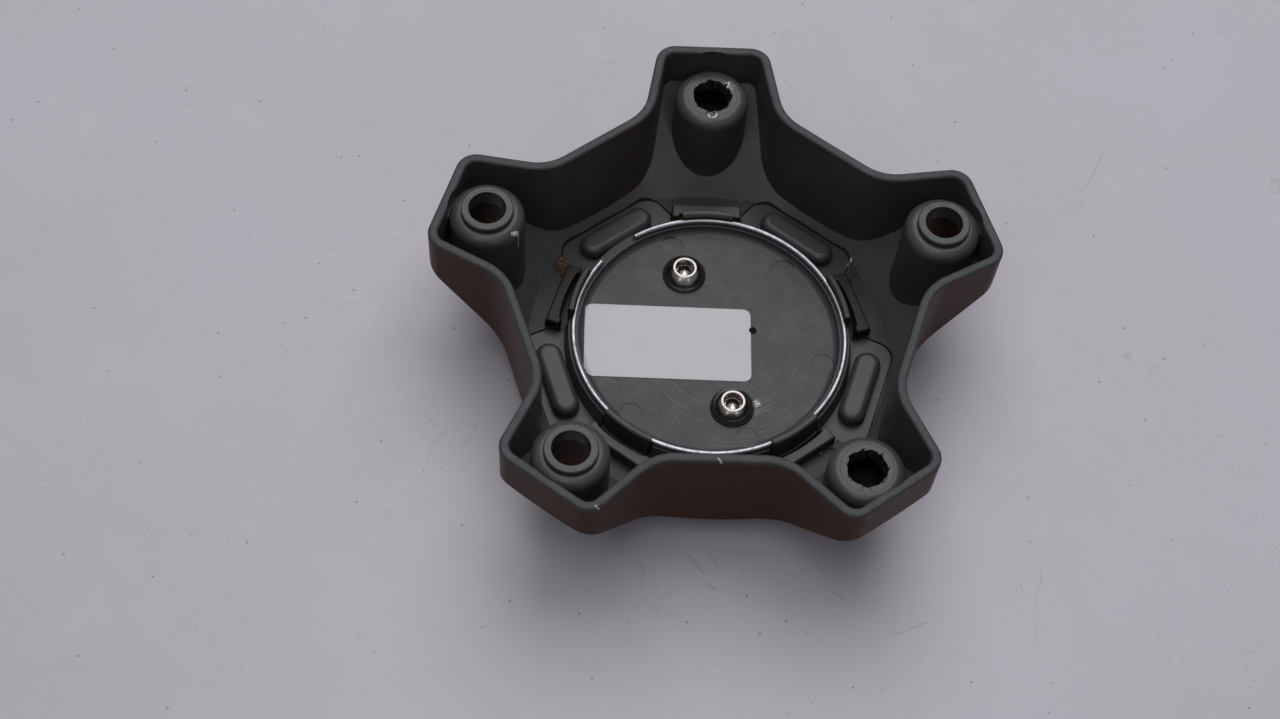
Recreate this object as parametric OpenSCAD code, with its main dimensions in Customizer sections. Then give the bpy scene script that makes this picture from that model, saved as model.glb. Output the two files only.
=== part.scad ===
// Five-lobed wheel centre cap, lying face down with its back up.
// The origin is on the cap's axis at the lowest point of its front, and the top lobe is at +Y.

/* [Star outline at the rim] */
// Depth of the cap from the front of its centre cover to the rim
cap_h = 50; // [49:0.5:56]
// Centre of the cap to the flat end of a lobe
lobe_reach = 87.2; // [87:0.2:92]
// Half the width of a lobe's flat end, measured to the sharp corner
lobe_half_w = 17.25; // [17:0.25:18.5]
// Centre of the cap to the flat between two lobes
valley_reach = 62.3; // [61.5:0.1:64]
// Half the length of that flat, measured to the sharp corner
valley_half_w = 18.3; // [17.8:0.1:19]
// Outside radius of a lobe's two corners
tip_round = 6.5; // [6:0.1:7.5]
// Radius of the hollow corners between lobe and valley
valley_round = 14.3; // [10:0.1:16]

/* [Walls] */
// Thickness of the wall at the rim
wall_t = 3; // [2.6:0.1:3.4]
// Draft of the outer face, in degrees
draft_out = 1.4; // [0.5:0.1:2]
// Draft of the inner face, in degrees
draft_in = 1.2; // [0.5:0.1:1.8]
// Rounding of the rim's two edges
lip_round = 0.9; // [0.4:0.1:1.3]
// Height of the inner floor above the front of the centre cover
floor_h = 11.2; // [10.8:0.1:12.4]
// Thickness of the flat floor
floor_t = 3.7; // [3.2:0.1:4.2]
// Radius at which the inner floor starts to slope back
cone_start_r = 56; // [54:0.5:58]
// Slope of the floor in the lobes, in degrees
cone_angle = 40.4; // [36:0.2:44]
// Thickness of the sloping floor, square to its face
cone_t = 2.6; // [2.2:0.1:3]

/* [Bosses] */
// Centre of a boss to the flat end of its lobe
boss_inset = 14.2; // [13:0.1:16]
// Outer radius of a boss at its shoulder
boss_r = 11.5; // [10.8:0.1:12]
// Draft of a boss, in degrees
boss_draft = 0.9; // [0.3:0.1:1.5]
// Rounding of a boss's shoulder
boss_round = 3.4; // [2:0.1:4]
// Radius of the raised collar on a whole boss
collar_r = 8.05; // [7.4:0.05:8.4]
// Height of that collar
collar_h = 2.1; // [1.4:0.1:2.6]
// Rounding of the collar's edge
collar_round = 0.6; // [0.3:0.1:0.9]
// Radius of the hole through a boss
hole_r = 5.75; // [5:0.05:6.2]
// Radius of the well that opens to the front
well_r = 8.8; // [8:0.1:9.2]
// Thickness of a boss's end between its shoulder and the well
boss_end_t = 3.6; // [3:0.1:4.5]
// How far the two short bosses stop below the rim
short_drop = 7.3; // [5:0.1:8]
// Clearance of the round relief in the end wall above a boss
relief_gap = 0.5; // [0.4:0.1:0.9]
// Radius of the round mark beside the hole of a short boss
gate_r = 1.4; // [1:0.1:1.7]
// Distance of that mark from the middle of the hole
gate_offset = 7; // [6.4:0.1:7.4]
// Sideways place of that mark, to the left of the hole's middle
gate_side = 0.8; // [0:0.1:1.4]
// Depth of that mark
gate_depth = 0.5; // [0.3:0.1:1]
// How ragged the hole of a short boss is
hole_rag = 0.3; // [0.1:0.05:0.4]

/* [Seat of the insert] */
// Centre of the cap to the outer edge of an insert pad
pad_reach = 55.7; // [55:0.1:56.5]
// Half the length of that edge, measured to the sharp corner
pad_half_w = 18.2; // [17.8:0.1:18.6]
// Flare of a pad's sides toward the centre, in degrees
pad_flare = 6.5; // [5:0.5:8]
// Corner radius of a pad
pad_round = 5.5; // [4:0.1:6.5]
// Thickness of the pads
pad_t = 2; // [1.6:0.1:2.2]
// Clearance between the insert and its seat
seat_gap = 0.3; // [0.2:0.05:0.4]
// Radius of the round opening through the floor
opening_r = 45; // [44.95:0.05:45.2]
// Width of the raised edge round the pads
edge_w = 2.9; // [2.2:0.1:3.2]
// Height of that edge above the floor
edge_h = 0.5; // [0.3:0.1:0.8]

/* [Brackets] */
// Centre of the cap to the straight outer side of a bracket
bracket_reach = 49.9; // [49.5:0.1:50.5]
// Radius of a bracket's curved inner side
bracket_inner_r = 47; // [46.8:0.1:47.4]
// Half the length of a bracket
bracket_half_w = 11; // [10.6:0.1:11.3]
// Width of a bracket's two legs
bracket_leg_w = 2.2; // [1.8:0.1:2.4]
// Centre of the cap to the inner end of the legs
bracket_leg_reach = 45.3; // [45.2:0.1:45.8]
// Height of a bracket above the floor
bracket_h = 4.5; // [4:0.1:5.5]
// Rounding of a bracket's top edges
bracket_round = 0.7; // [0.3:0.1:0.8]

/* [Insert] */
// Radius of the disc, out to the ring wall
disc_r = 40.6; // [40.3:0.1:40.8]
// Height of the disc's face above the floor of the cap
disc_rise = 3.2; // [2.9:0.1:3.5]
// Thickness of the disc
disc_t = 2.4; // [2:0.1:2.8]
// Fillet between the disc and the ring wall
disc_fillet = 2.4; // [1.5:0.1:2.5]
// Height of the ledge above the floor of the cap
ledge_rise = 5.8; // [5.7:0.1:6.2]
// Outer radius of the ring wall at the ledge
ring_top_r = 43.6; // [43.4:0.1:43.8]
// Outer radius of the ring wall at its foot
ring_foot_r = 44.8; // [44.6:0.05:44.85]
// Centre of the cap to the middle of a rounded block
pill_reach = 49.1; // [49:0.05:49.4]
// Half the width of a rounded block
pill_half_w = 4.2; // [3.8:0.1:4.3]
// Half the length of a rounded block
pill_half_l = 13; // [12:0.1:13.4]
// Height of a rounded block above the pad
pill_h = 4.3; // [3.8:0.1:5]
// Rounding of a block's top edges
pill_round = 2.4; // [1.5:0.1:3]
// Radius of the round ejector marks
mark_r = 3.45; // [3:0.05:3.6]
// Radius of the circle that the marks lie on
mark_circle_r = 36.1; // [35.5:0.1:36.4]
// Depth of the marks
mark_depth = 0.15; // [0.1:0.05:0.3]

/* [Clips and wire] */
// Half the angle that a clip spans, in degrees
clip_half_angle = 10.8; // [10:0.1:11]
// Radius of a clip's outer face
clip_outer_r = 44.3; // [44.2:0.05:44.4]
// Thickness of a clip's upright
clip_t = 1.2; // [1.1:0.05:1.3]
// Height of a clip above the ledge
clip_h = 4.2; // [4:0.1:5]
// How far a clip's lip reaches in over the wire
clip_lip = 1.05; // [0.8:0.05:1.3]
// Gap between a clip and the ring wall beside it, in degrees
clip_gap_angle = 1.1; // [0.8:0.1:1.5]
// Gap behind a clip, which lets it spring
clip_relief = 0.3; // [0.2:0.05:0.5]
// Height of the gaps' floor above the floor of the cap
slot_rise = 0.4; // [0.3:0.1:0.8]
// Height of a clip's root below the ledge
clip_root_drop = 1.5; // [1:0.1:2.5]
// Diameter of the retaining wire
wire_d = 1.8; // [1.6:0.05:1.85]
// Clearance round the wire
wire_gap = 0.05; // [0.03:0.01:0.08]
// Angle at which the wire's opening starts
wire_open_start = 123.5; // [118:0.5:126]
// Angle that the opening spans
wire_open_angle = 19.5; // [15:0.5:24]

/* [Screws] */
// Diameter of a screw's button head
head_d = 13.6; // [13:0.1:14]
// Height of the head
head_h = 4.4; // [4:0.1:4.8]
// Height of the head's straight edge
head_edge_h = 0.6; // [0.4:0.1:0.9]
// Diameter of the flat ring on top of the head
head_flat_d = 7.3; // [7:0.1:7.8]
// Size of the hexagon socket across its flats
socket_af = 5; // [4.5:0.1:5.4]
// Depth of the socket
socket_depth = 2.6; // [2:0.1:2.8]
// Diameter of the shank
shank_d = 8; // [7.6:0.1:8.2]
// Length of the shank
shank_l = 10; // [9.4:0.1:10.2]
// Clearance round the shank
shank_gap = 0.2; // [0.15:0.05:0.3]
// Distance of the upper screw from the centre
upper_screw_r = 24.8; // [23.5:0.1:26]
// Angle of the upper screw
upper_screw_angle = 107.3; // [106:0.1:109]
// Distance of the lower screw from the centre
lower_screw_r = 25.1; // [23.5:0.1:26]
// Angle of the lower screw
lower_screw_angle = 285.9; // [284:0.1:288]

/* [Label] */
// Length of the label
label_l = 51.8; // [48:0.1:52]
// Width of the label
label_w = 26.1; // [24:0.1:26.2]
// Thickness of the label
label_t = 0.2; // [0.15:0.05:0.3]
// Corner radius of the label
label_round = 2.5; // [2.4:0.1:3]
// Middle of the label, to the left of the centre
label_x = -12.7; // [-12.8:0.1:-11]
// Middle of the label, below the centre
label_y = -1.45; // [-1.8:0.05:-0.5]
// Turn of the label, in degrees
label_turn = -0.6; // [-1.5:0.1:0.5]

/* [Centre cover] */
// Radius of the cover on the front
cover_r = 50; // [48:0.1:51]
// Radius of the flat in the middle of the cover
cover_flat_r = 28; // [20:0.5:34]
// Rise from that flat to the cover's edge
cover_rise = 5.4; // [4.6:0.1:5.6]
// Thickness of the cover
cover_t = 2.3; // [2:0.1:2.6]
// Thickness of the spigot that centres the insert
spigot_t = 2.2; // [1.8:0.1:2.6]
// Outer radius of the two screw posts
post_r = 7; // [6.4:0.1:7.5]

/* [Broken linings] */
// Outer radius of the black lining inside a short boss
lining_r = 8.5; // [7.7:0.05:8.55]
// Length of the lining left in the well
lining_l = 9; // [7:0.5:11]
// Mean radius of the broken crater in the lining
crater_r = 5.4; // [5:0.05:5.6]
// Depth of the crater
crater_depth = 6.5; // [5:0.1:6.8]
// How ragged the crater's edge is
crater_rag = 0.45; // [0.2:0.05:0.5]

/* [Hidden] */
$fn = 96;
lobes = 5;
pitch = 360 / lobes;
half_pitch = pitch / 2;
top_lobe = 90;
short_bosses = [0, 3];
bite_angle = 45;
whole_bosses = [1, 2, 4];
over = 1;
boss_circle_r = lobe_reach - boss_inset;

floor_z = floor_h;
front_z = floor_z - floor_t;
seat_z = floor_z - pad_t;
short_z = cap_h - short_drop;
disc_z = floor_z + disc_rise;
ledge_z = floor_z + ledge_rise;
cone_slope = tan(cone_angle);
cone_drop = cone_t / cos(cone_angle);
far_r = lobe_reach + 10;

function polar(r, a) = [r * cos(a), r * sin(a)];
function lobe_corner(inset) =
    [lobe_reach - inset, lobe_half_w - inset * tan(tip_turn / 2)];
// The hollow corner, given in a valley's own frame and turned into that of the lobe beside it
function valley_corner(inset) =
    let (u = valley_reach - inset, w = valley_half_w + inset * tan(valley_turn / 2))
    u * polar(1, half_pitch) + w * polar(1, half_pitch - 90);
function cone_z(r) = floor_z + max(0, (r - cone_start_r) * cone_slope);
function front_cone_z(r) = max(front_z, floor_z - cone_drop + (r - cone_start_r) * cone_slope);

tip_sharp = [lobe_reach, lobe_half_w];
valley_sharp =
    valley_reach * polar(1, half_pitch) + valley_half_w * polar(1, half_pitch - 90);
flank = tip_sharp - valley_sharp;
flank_l = norm(flank);
// Angle of a flank's outward normal, measured from the lobe's axis
flank_normal = atan2(flank[1], flank[0]) + 90;
tip_turn = flank_normal;
valley_turn = flank_normal - half_pitch;
tip_tangent = tip_round * tan(tip_turn / 2);
valley_tangent = valley_round * tan(valley_turn / 2);
tip_centre = [lobe_reach - tip_round, lobe_half_w - tip_tangent];
hollow_centre =
    valley_sharp + flank / flank_l * valley_tangent + polar(valley_round, flank_normal);
front_knee_r = cone_start_r + (cone_drop - floor_t) / cone_slope;
shoulder_z = cap_h - lip_round;
tip_steps = 10;
hollow_steps = 6;
lip_steps = 3;
pad_steps = 8;

module at_lobes(which = [0 : lobes - 1]) {
    for (k = which)
        rotate(top_lobe + pitch * k)
            children();
}

module at_valleys() {
    for (k = [0 : lobes - 1])
        rotate(top_lobe + half_pitch + pitch * k)
            children();
}

// Points along an arc, from one angle to another
function arc(centre, r, from, to, steps) =
    [for (k = [0 : steps]) centre + polar(r, from + (to - from) * k / steps)];
function turned(points, a) =
    [for (p = points) [p[0] * cos(a) - p[1] * sin(a), p[0] * sin(a) + p[1] * cos(a)]];
function mirrored(points) =
    [for (k = [len(points) - 1 : -1 : 0]) [points[k][0], -points[k][1]]];

// Half of a lobe, from its axis to the valley: a corner outward, then a hollow one
function half_lobe(inset) = concat(
    arc(tip_centre, tip_round - inset, 0, tip_turn, tip_steps),
    arc(hollow_centre, valley_round + inset, 180 + flank_normal, 180 + half_pitch, hollow_steps)
);
function star_outline(inset) =
    let (half = half_lobe(inset), lobe = concat(mirrored(half), half))
    [for (k = [0 : lobes - 1]) each turned(lobe, top_lobe + pitch * k)];

// Wall section, as distance in from the outline and height: up the drafted outside,
// over the rounded lip and down the drafted inside
wall_section = concat(
    [[(shoulder_z - front_z) * tan(draft_out), front_z]],
    arc([lip_round, shoulder_z], lip_round, 180, 90, lip_steps),
    arc([wall_t - lip_round, shoulder_z], lip_round, 90, 0, lip_steps),
    [[wall_t + (shoulder_z - front_z) * tan(draft_in), front_z]]
);

// The section swept round the star
module star_wall() {
    rings = [for (s = wall_section) [for (p = star_outline(s[0])) [p[0], p[1], s[1]]]];
    m = len(rings);
    n = len(rings[0]);
    polyhedron(
        points = [for (ring = rings) each ring],
        faces = [
            for (i = [0 : m - 1], j = [0 : n - 1])
                let (up = (i + 1) % m, next = (j + 1) % n)
                [i * n + j, up * n + j, up * n + next, i * n + next]
        ]
    );
}

// Sharp-cornered star, set in from the outline
module star_2d(inset) {
    tip = lobe_corner(inset);
    hollow = valley_corner(inset);
    corners = [[hollow[0], -hollow[1]], [tip[0], -tip[1]], tip, hollow];
    polygon([
        for (k = [0 : lobes - 1])
            let (a = top_lobe + pitch * k)
            for (c = corners)
                [c[0] * cos(a) - c[1] * sin(a), c[0] * sin(a) + c[1] * cos(a)]
    ]);
}

// Everything in front of the cap's front face, to be cut away
module front_waste() {
    rotate_extrude()
        polygon([
            [0, -over], [far_r, -over], [far_r, front_cone_z(far_r)],
            [front_knee_r, front_z], [0, front_z]
        ]);
}

// Floor: flat in the middle and sloping back into the lobes
module star_floor() {
    intersection() {
        rotate_extrude()
            polygon([
                [0, 0], [far_r, 0], [far_r, cone_z(far_r)],
                [cone_start_r, floor_z], [0, floor_z]
            ]);
        linear_extrude(cap_h)
            star_2d(wall_t * 0.63);
    }
}

// Rounded trapezoid of an insert pad, grown all round by a margin
module pad_2d(grow = 0) {
    turn = 90 - pad_flare;
    half_w = pad_half_w + grow * tan(turn / 2);
    reach = pad_reach + grow;
    round_r = pad_round + grow;
    centre = [reach - round_r, half_w - round_r * tan(turn / 2)];
    corner = arc(centre, round_r, 0, turn, pad_steps);
    inner = disc_r - 10;
    side = concat(corner, [[inner, half_w + (reach - inner) * tan(pad_flare)]]);
    polygon(concat(mirrored(side), side));
}

module bracket_2d() {
    leg_inner = bracket_half_w - bracket_leg_w;
    difference() {
        translate([bracket_leg_reach, -bracket_half_w])
            square([bracket_reach - bracket_leg_reach, 2 * bracket_half_w]);
        intersection() {
            circle(bracket_inner_r);
            translate([0, -leg_inner])
                square([bracket_reach, 2 * leg_inner]);
        }
    }
}

// Pocket that the insert's plate lies in
module seat_2d() {
    difference() {
        union() {
            at_valleys()
                pad_2d(seat_gap);
            circle(bracket_inner_r);
        }
        at_lobes()
            bracket_2d();
    }
}

// Raised edge that follows the pads' outline on the shell
module pad_edge() {
    linear_extrude(floor_z + edge_h)
        intersection() {
            pad_2d(seat_gap + edge_w);
            star_2d(wall_t * 0.63);
        }
}

// Bracket behind a clip, with rounded top edges
module bracket() {
    foot_z = seat_z;
    top_z = floor_z + bracket_h;
    length = bracket_reach - bracket_leg_reach;
    intersection() {
        translate([0, 0, foot_z])
            linear_extrude(top_z - foot_z)
                bracket_2d();
        translate([bracket_leg_reach - over, 0, 0])
            rotate([90, 0, 90])
                linear_extrude(length + 2 * over)
                    rounded_top(2 * bracket_half_w, top_z, bracket_round);
        translate([0, bracket_half_w, 0])
            rotate([90, 0, 0])
                linear_extrude(2 * bracket_half_w)
                    translate([bracket_reach - length / 2, 0])
                        rounded_top(length, top_z, bracket_round);
    }
}

// Upright section, centred on x, with its two top corners rounded
module rounded_top(width, height, radius) {
    translate([-width / 2, 0])
        square([width, height - radius]);
    translate([radius - width / 2, 0])
        square([width - 2 * radius, height]);
    for (s = [0, 1])
        mirror([s, 0])
            translate([width / 2 - radius, height - radius])
                quarter_disc(radius);
}

module quarter_disc(radius) {
    intersection() {
        circle(radius);
        square(radius);
    }
}

// Half section of a boss up to a flat top
module boss_section(top_z) {
    round_z = top_z - boss_round;
    foot_r = boss_r + round_z * tan(boss_draft);
    polygon([[0, 0], [foot_r, 0], [boss_r, round_z], [0, round_z]]);
    square([boss_r - boss_round, top_z]);
    translate([boss_r - boss_round, round_z])
        quarter_disc(boss_round);
}

module whole_boss() {
    shoulder_top = cap_h - collar_h;
    rotate_extrude() {
        boss_section(shoulder_top);
        square([collar_r, cap_h - collar_round]);
        square([collar_r - collar_round, cap_h]);
        translate([collar_r - collar_round, cap_h - collar_round])
            quarter_disc(collar_round);
    }
}

module short_boss() {
    rotate_extrude()
        boss_section(short_z);
}

// Round relief that clears the end wall above a boss
module wall_relief(top_z) {
    translate([boss_circle_r, 0, top_z - boss_round])
        cylinder(r = boss_r + relief_gap, h = cap_h);
}

module star_shell() {
    color("#46454a")
        difference() {
            union() {
                difference() {
                    union() {
                        star_wall();
                        star_floor();
                        at_valleys()
                            pad_edge();
                    }
                    at_lobes(whole_bosses)
                        wall_relief(cap_h - collar_h);
                    at_lobes(short_bosses)
                        wall_relief(short_z);
                    translate([0, 0, seat_z])
                        linear_extrude(cap_h)
                            seat_2d();
                    translate([0, 0, -over])
                        cylinder(r = opening_r, h = cap_h);
                }
                at_lobes(whole_bosses)
                    translate([boss_circle_r, 0, 0])
                        whole_boss();
                at_lobes(short_bosses)
                    translate([boss_circle_r, 0, 0])
                        short_boss();
                at_lobes()
                    bracket();
            }
            front_waste();
            at_lobes(whole_bosses)
                translate([boss_circle_r, 0, 0]) {
                    cylinder(r = hole_r, h = cap_h + over);
                    cylinder(r = well_r, h = cap_h - collar_h - boss_end_t);
                }
            at_lobes(short_bosses)
                translate([boss_circle_r, 0, 0])
                    cylinder(r = well_r, h = short_z - boss_end_t);
            for (k = short_bosses)
                translate(polar(boss_circle_r, top_lobe + pitch * k))
                    broken_hole(bite_angle + 25 * k);
        }
}

// Ragged hole of a short boss, and the round mark on its near side
module broken_hole(bite) {
    translate([0, 0, short_z - boss_end_t - over])
        linear_extrude(boss_end_t + 2 * over)
            polygon(ragged(hole_r + hole_rag, hole_rag, bite));
    translate([-gate_side, -gate_offset, short_z - gate_depth])
        cylinder(r = gate_r, h = over);
}

// Rounded block on a pad: a rounded section with a half turn at each end
module pill() {
    straight = pill_half_l - pill_half_w;
    translate([pill_reach, 0, floor_z - pad_t / 2]) {
        translate([0, straight, 0])
            rotate([90, 0, 0])
                linear_extrude(2 * straight)
                    rounded_top(2 * pill_half_w, pill_h + pad_t / 2, pill_round);
        for (s = [1, -1])
            translate([0, s * straight, 0])
                rotate(s > 0 ? 0 : 180)
                    rotate_extrude(angle = 180)
                        intersection() {
                            rounded_top(2 * pill_half_w, pill_h + pad_t / 2, pill_round);
                            square([far_r, cap_h]);
                        }
    }
}

// Clip: an upright spring finger with a lip over the wire
module clip() {
    inner_r = clip_outer_r - clip_t;
    top_z = ledge_z + clip_h;
    lip_z = ledge_z + wire_d + 2 * wire_gap;
    lip_r = inner_r - clip_lip;
    rotate(-clip_half_angle)
        rotate_extrude(angle = 2 * clip_half_angle)
            polygon([
                [inner_r - over, ledge_z - clip_root_drop], [inner_r - over, seat_z],
                [clip_outer_r, seat_z],
                [clip_outer_r, top_z - 0.5], [clip_outer_r - 0.5, top_z],
                [lip_r + 0.6, top_z], [lip_r, top_z - 0.7],
                [lip_r, lip_z + 0.6], [inner_r, lip_z],
                [inner_r, ledge_z - clip_root_drop]
            ]);
}

// Gap that frees a clip from the ring wall on both sides
module clip_slot() {
    half = clip_half_angle + clip_gap_angle;
    inner_r = clip_outer_r - clip_t - clip_relief;
    rotate(-half)
        rotate_extrude(angle = 2 * half)
            translate([inner_r, floor_z + slot_rise])
                square([over + clip_t + clip_relief, cap_h]);
}

module insert_body() {
    rotate_extrude() {
        translate([0, disc_z - disc_t])
            square([disc_r + over, disc_t]);
        polygon([
            [disc_r, seat_z], [ring_foot_r, seat_z], [ring_foot_r, floor_z],
            [ring_top_r, ledge_z], [disc_r, ledge_z]
        ]);
        difference() {
            translate([disc_r - disc_fillet, disc_z])
                square([disc_fillet, disc_fillet]);
            translate([disc_r - disc_fillet, disc_z + disc_fillet])
                circle(disc_fillet);
        }
    }
    translate([0, 0, seat_z])
        linear_extrude(pad_t)
            difference() {
                at_valleys()
                    pad_2d();
                at_lobes()
                    translate([ring_foot_r - over, -bracket_half_w - seat_gap])
                        square([far_r, 2 * (bracket_half_w + seat_gap)]);
                circle(disc_r + over);
            }
    at_valleys()
        pill();
}

module centre_insert() {
    color("#4b4a4d") {
        difference() {
            insert_body();
            at_lobes()
                clip_slot();
            screw_places()
                translate([0, 0, -over])
                    cylinder(d = shank_d + 2 * shank_gap, h = cap_h);
            for (a = [48 : 60 : 348])
                translate(polar(mark_circle_r, a))
                    translate([0, 0, disc_z - mark_depth])
                        cylinder(r = mark_r, h = over);
        }
        at_lobes()
            clip();
    }
}

module retaining_ring() {
    wire_r = clip_outer_r - clip_t - wire_gap - wire_d / 2;
    color("#c9c9cc")
        translate([0, 0, ledge_z + wire_gap + wire_d / 2])
            rotate(wire_open_start + wire_open_angle)
                rotate_extrude(angle = 360 - wire_open_angle)
                    translate([wire_r, 0])
                        circle(d = wire_d);
}

module screw_places() {
    translate(polar(upper_screw_r, upper_screw_angle))
        children();
    translate(polar(lower_screw_r, lower_screw_angle))
        children();
}

// Button-head screw with a hexagon socket, head down on the disc
module screw(turn) {
    rise = head_h - head_edge_h;
    edge_r = head_d / 2;
    flat_r = head_flat_d / 2;
    dome_drop = (edge_r * edge_r - flat_r * flat_r - rise * rise) / (2 * rise);
    dome_r = norm([edge_r, dome_drop]);
    translate([0, 0, disc_z])
        difference() {
            union() {
                rotate_extrude() {
                    intersection() {
                        translate([0, head_edge_h - dome_drop])
                            circle(dome_r);
                        translate([0, head_edge_h])
                            square([edge_r, rise]);
                    }
                    square([edge_r, head_edge_h]);
                }
                translate([0, 0, -shank_l])
                    cylinder(d = shank_d, h = shank_l + head_edge_h);
            }
            translate([0, 0, head_h - socket_depth])
                rotate(turn)
                    cylinder(d = socket_af / cos(30), h = head_h, $fn = 6);
            translate([0, 0, head_h - 0.5])
                cylinder(r1 = socket_af / 2, r2 = socket_af / 2 + 0.55, h = 0.55);
        }
}

module screw_upper() {
    color("#bdbcc0")
        translate(polar(upper_screw_r, upper_screw_angle))
            screw(10);
}

module screw_lower() {
    color("#bdbcc0")
        translate(polar(lower_screw_r, lower_screw_angle))
            screw(25);
}

// Label, lying on the disc and up its fillet
module label() {
    half_l = label_l / 2 - label_round;
    half_w = label_w / 2 - label_round;
    fillet_r = disc_r - disc_fillet;
    color("#e9e9ea")
        intersection() {
            rotate_extrude() {
                translate([0, disc_z])
                    square([fillet_r, label_t]);
                difference() {
                    intersection() {
                        translate([fillet_r, disc_z])
                            square([disc_fillet, disc_fillet]);
                        translate([fillet_r, disc_z + disc_fillet])
                            circle(disc_fillet);
                    }
                    translate([fillet_r, disc_z + disc_fillet])
                        circle(disc_fillet - label_t);
                }
            }
            translate([label_x, label_y, 0])
                rotate(label_turn)
                    linear_extrude(cap_h) {
                        square([label_l, 2 * half_w], center = true);
                        square([2 * half_l, label_w], center = true);
                        for (x = [-half_l, half_l], y = [-half_w, half_w])
                            translate([x, y])
                                circle(label_round);
                    }
        }
}

// Half section of the cover: a flat, then an arc up to the edge
module cover_section() {
    reach = cover_r - cover_flat_r;
    arc_r = (reach * reach + cover_rise * cover_rise) / (2 * cover_rise);
    hollow_r = opening_r - 2 * spigot_t / 3;
    difference() {
        union() {
            square([cover_flat_r, front_z]);
            intersection() {
                translate([cover_flat_r, arc_r])
                    circle(arc_r);
                translate([cover_flat_r, 0])
                    square([reach, front_z]);
            }
        }
        translate([0, cover_t])
            square([cover_flat_r, front_z]);
        intersection() {
            translate([cover_flat_r, arc_r])
                circle(arc_r - cover_t);
            translate([cover_flat_r, 0])
                square([hollow_r - cover_flat_r, cap_h]);
        }
    }
}

// Plain cover on the front, which the two screws draw against the floor
module centre_cover() {
    spigot_r = disc_r - seat_gap;
    post_top = disc_z - disc_t;
    root_z = cover_t * 0.9;
    spigot_root_z = cover_t + cover_rise * 0.2;
    color("#3b2a26")
        difference() {
            union() {
                rotate_extrude()
                    cover_section();
                translate([0, 0, spigot_root_z])
                    rotate_extrude()
                        translate([spigot_r - spigot_t, 0])
                            square([spigot_t, post_top - seat_gap - spigot_root_z]);
                screw_places()
                    translate([0, 0, root_z])
                        cylinder(r = post_r, h = post_top - root_z);
            }
            screw_places()
                translate([0, 0, disc_z - shank_l - 2 * shank_gap])
                    cylinder(d = shank_d + 2 * shank_gap, h = cap_h);
        }
}

// Broken outline round a circle: three waves of different pitch, deepest at the bite
function ragged(r, rag, bite) = [
    for (a = [0 : 7.5 : 352.5])
        let (
            depth = 0.35 + 0.65 * pow((1 + cos(a - bite)) / 2, 2),
            wave = sin(5 * a + bite) + 0.7 * sin(11 * a + 3 * bite) + 0.5 * sin(17 * a + 7 * bite)
        )
        polar(r + rag * depth * wave, a)
];

// Black lining that broke inside a short boss
module broken_lining(bite) {
    top_z = short_z - boss_end_t;
    difference() {
        translate([0, 0, top_z - lining_l])
            cylinder(r = lining_r, h = lining_l);
        translate([0, 0, top_z - crater_depth])
            linear_extrude(crater_depth + over)
                polygon(ragged(crater_r, crater_rag, bite));
    }
}

module broken_lining_top() {
    color("#111012")
        translate(polar(boss_circle_r, top_lobe + pitch * short_bosses[0]))
            broken_lining(bite_angle + 70);
}

module broken_lining_right() {
    color("#111012")
        translate(polar(boss_circle_r, top_lobe + pitch * short_bosses[1]))
            broken_lining(bite_angle + 35);
}

star_shell();
centre_insert();
retaining_ring();
screw_upper();
screw_lower();
label();
centre_cover();
broken_lining_top();
broken_lining_right();
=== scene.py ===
"""Looks for a five-lobed wheel centre cap, lying face down: moulded grey plastic with brown paint
outside, a clipped insert with a sprung wire, two button-head screws and a blank label."""

import math

import bmesh
import bpy
from mathutils import Matrix, Vector


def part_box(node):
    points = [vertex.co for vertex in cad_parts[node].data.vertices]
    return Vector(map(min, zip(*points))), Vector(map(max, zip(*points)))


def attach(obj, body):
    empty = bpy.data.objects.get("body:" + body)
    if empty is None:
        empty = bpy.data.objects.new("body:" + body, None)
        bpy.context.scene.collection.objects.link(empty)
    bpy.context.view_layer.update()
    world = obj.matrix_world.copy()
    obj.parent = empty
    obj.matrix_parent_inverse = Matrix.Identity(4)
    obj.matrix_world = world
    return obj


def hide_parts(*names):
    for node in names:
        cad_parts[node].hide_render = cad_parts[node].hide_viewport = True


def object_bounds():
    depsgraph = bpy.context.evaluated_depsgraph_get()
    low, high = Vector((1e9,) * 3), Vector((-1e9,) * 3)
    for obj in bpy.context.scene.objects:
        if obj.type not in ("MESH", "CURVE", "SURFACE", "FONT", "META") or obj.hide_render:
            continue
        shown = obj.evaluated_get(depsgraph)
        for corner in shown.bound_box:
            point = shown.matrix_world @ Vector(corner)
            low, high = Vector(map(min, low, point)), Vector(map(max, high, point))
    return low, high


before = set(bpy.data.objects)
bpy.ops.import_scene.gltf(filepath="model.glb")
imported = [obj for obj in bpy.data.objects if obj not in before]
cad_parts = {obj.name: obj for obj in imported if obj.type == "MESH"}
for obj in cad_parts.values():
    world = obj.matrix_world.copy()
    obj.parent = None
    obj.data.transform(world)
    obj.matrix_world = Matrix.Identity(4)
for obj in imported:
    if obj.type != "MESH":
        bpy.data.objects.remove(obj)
CAD_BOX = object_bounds()

bl_info = {
    "name": "Wheel Centre Cap",
    "version": (1, 0, 0),
    "blender": (4, 5, 0),
    "location": "View3D > Sidebar > Centre Cap",
    "description": "Dresses the cap's parts in plastic, paint, steel and paper, and sets the stage",
    "category": "Object",
}

# Lengths in millimetres, but for the merging of corners in metres; angles in degrees
MM = 0.001
LOBES = 5
PITCH = math.tau / LOBES
TOP_LOBE = math.pi / 2
SHORT_BOSSES = (0, 3)
BOSS_CIRCLE = 73.0
SOCKET_DEPTH = 2.6
LINING_DEPTH = 3.6
SLIVER_DROP = 0.4
WIRE_OPENING_START, WIRE_OPENING = 123.5, 19.5
EDGE_ANGLE, TORN_EDGE_ANGLE, WIRE_EDGE_ANGLE, DOT_EDGE_ANGLE = 32, 20, 40, 60
MERGE_DISTANCE = 2e-6

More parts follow.
